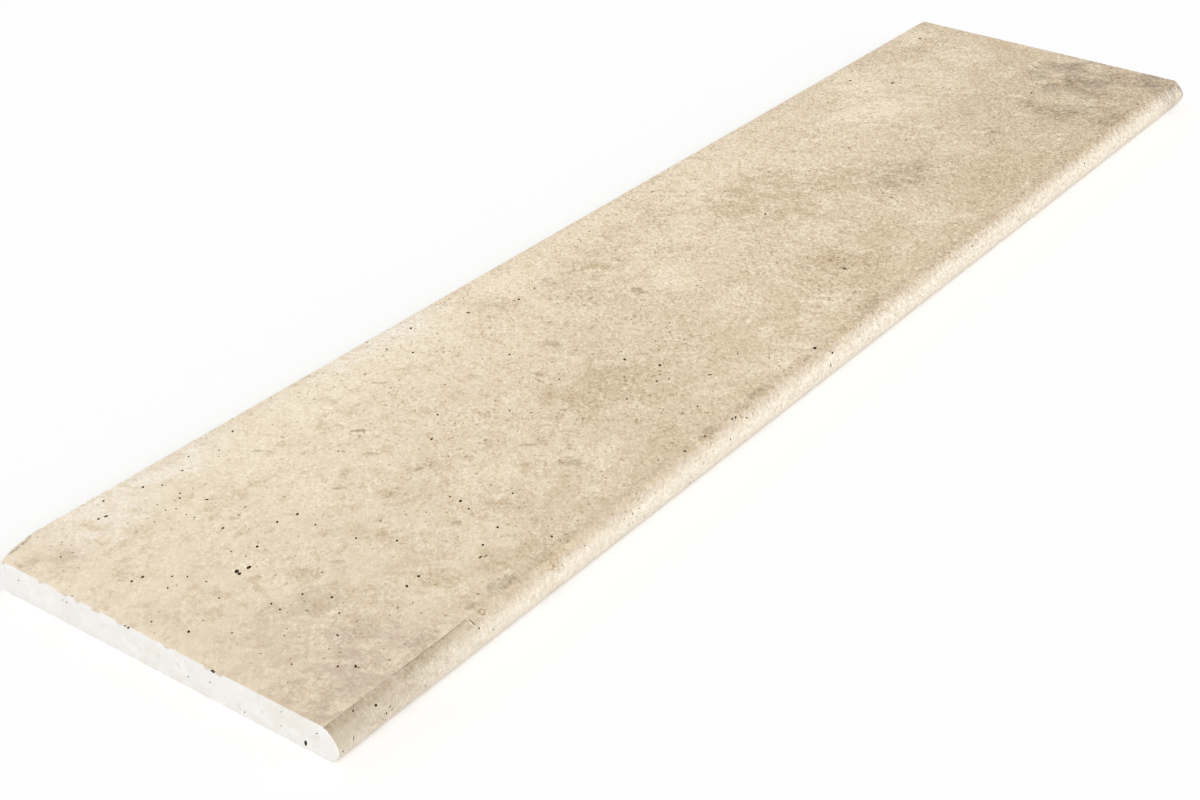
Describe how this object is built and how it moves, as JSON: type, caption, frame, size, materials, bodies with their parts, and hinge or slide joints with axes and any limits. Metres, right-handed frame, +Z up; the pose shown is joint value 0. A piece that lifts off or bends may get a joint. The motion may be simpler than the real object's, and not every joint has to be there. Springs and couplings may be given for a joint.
{
  "type": "travertine stair tread",
  "caption": "Long rectangular slab of travertine with sawn ends and a rounded nose along its front edge, laid as the walking surface of a stair step; its left back corner is chipped off.",
  "frame": {"origin": "on the underside, at the middle of the tread's length and depth", "axes": "+X along the tread's length, +Y towards the straight back edge so that the nose is at -Y, +Z up through the thickness"},
  "size_m": [1.2, 0.28, 0.0215],
  "materials": {
    "travertine": "honed cream travertine with open pits, sawn at its ends, back and underside"
  },
  "bodies": {
    "root": {"tread_slab": "travertine"}
  },
  "joints": []
}
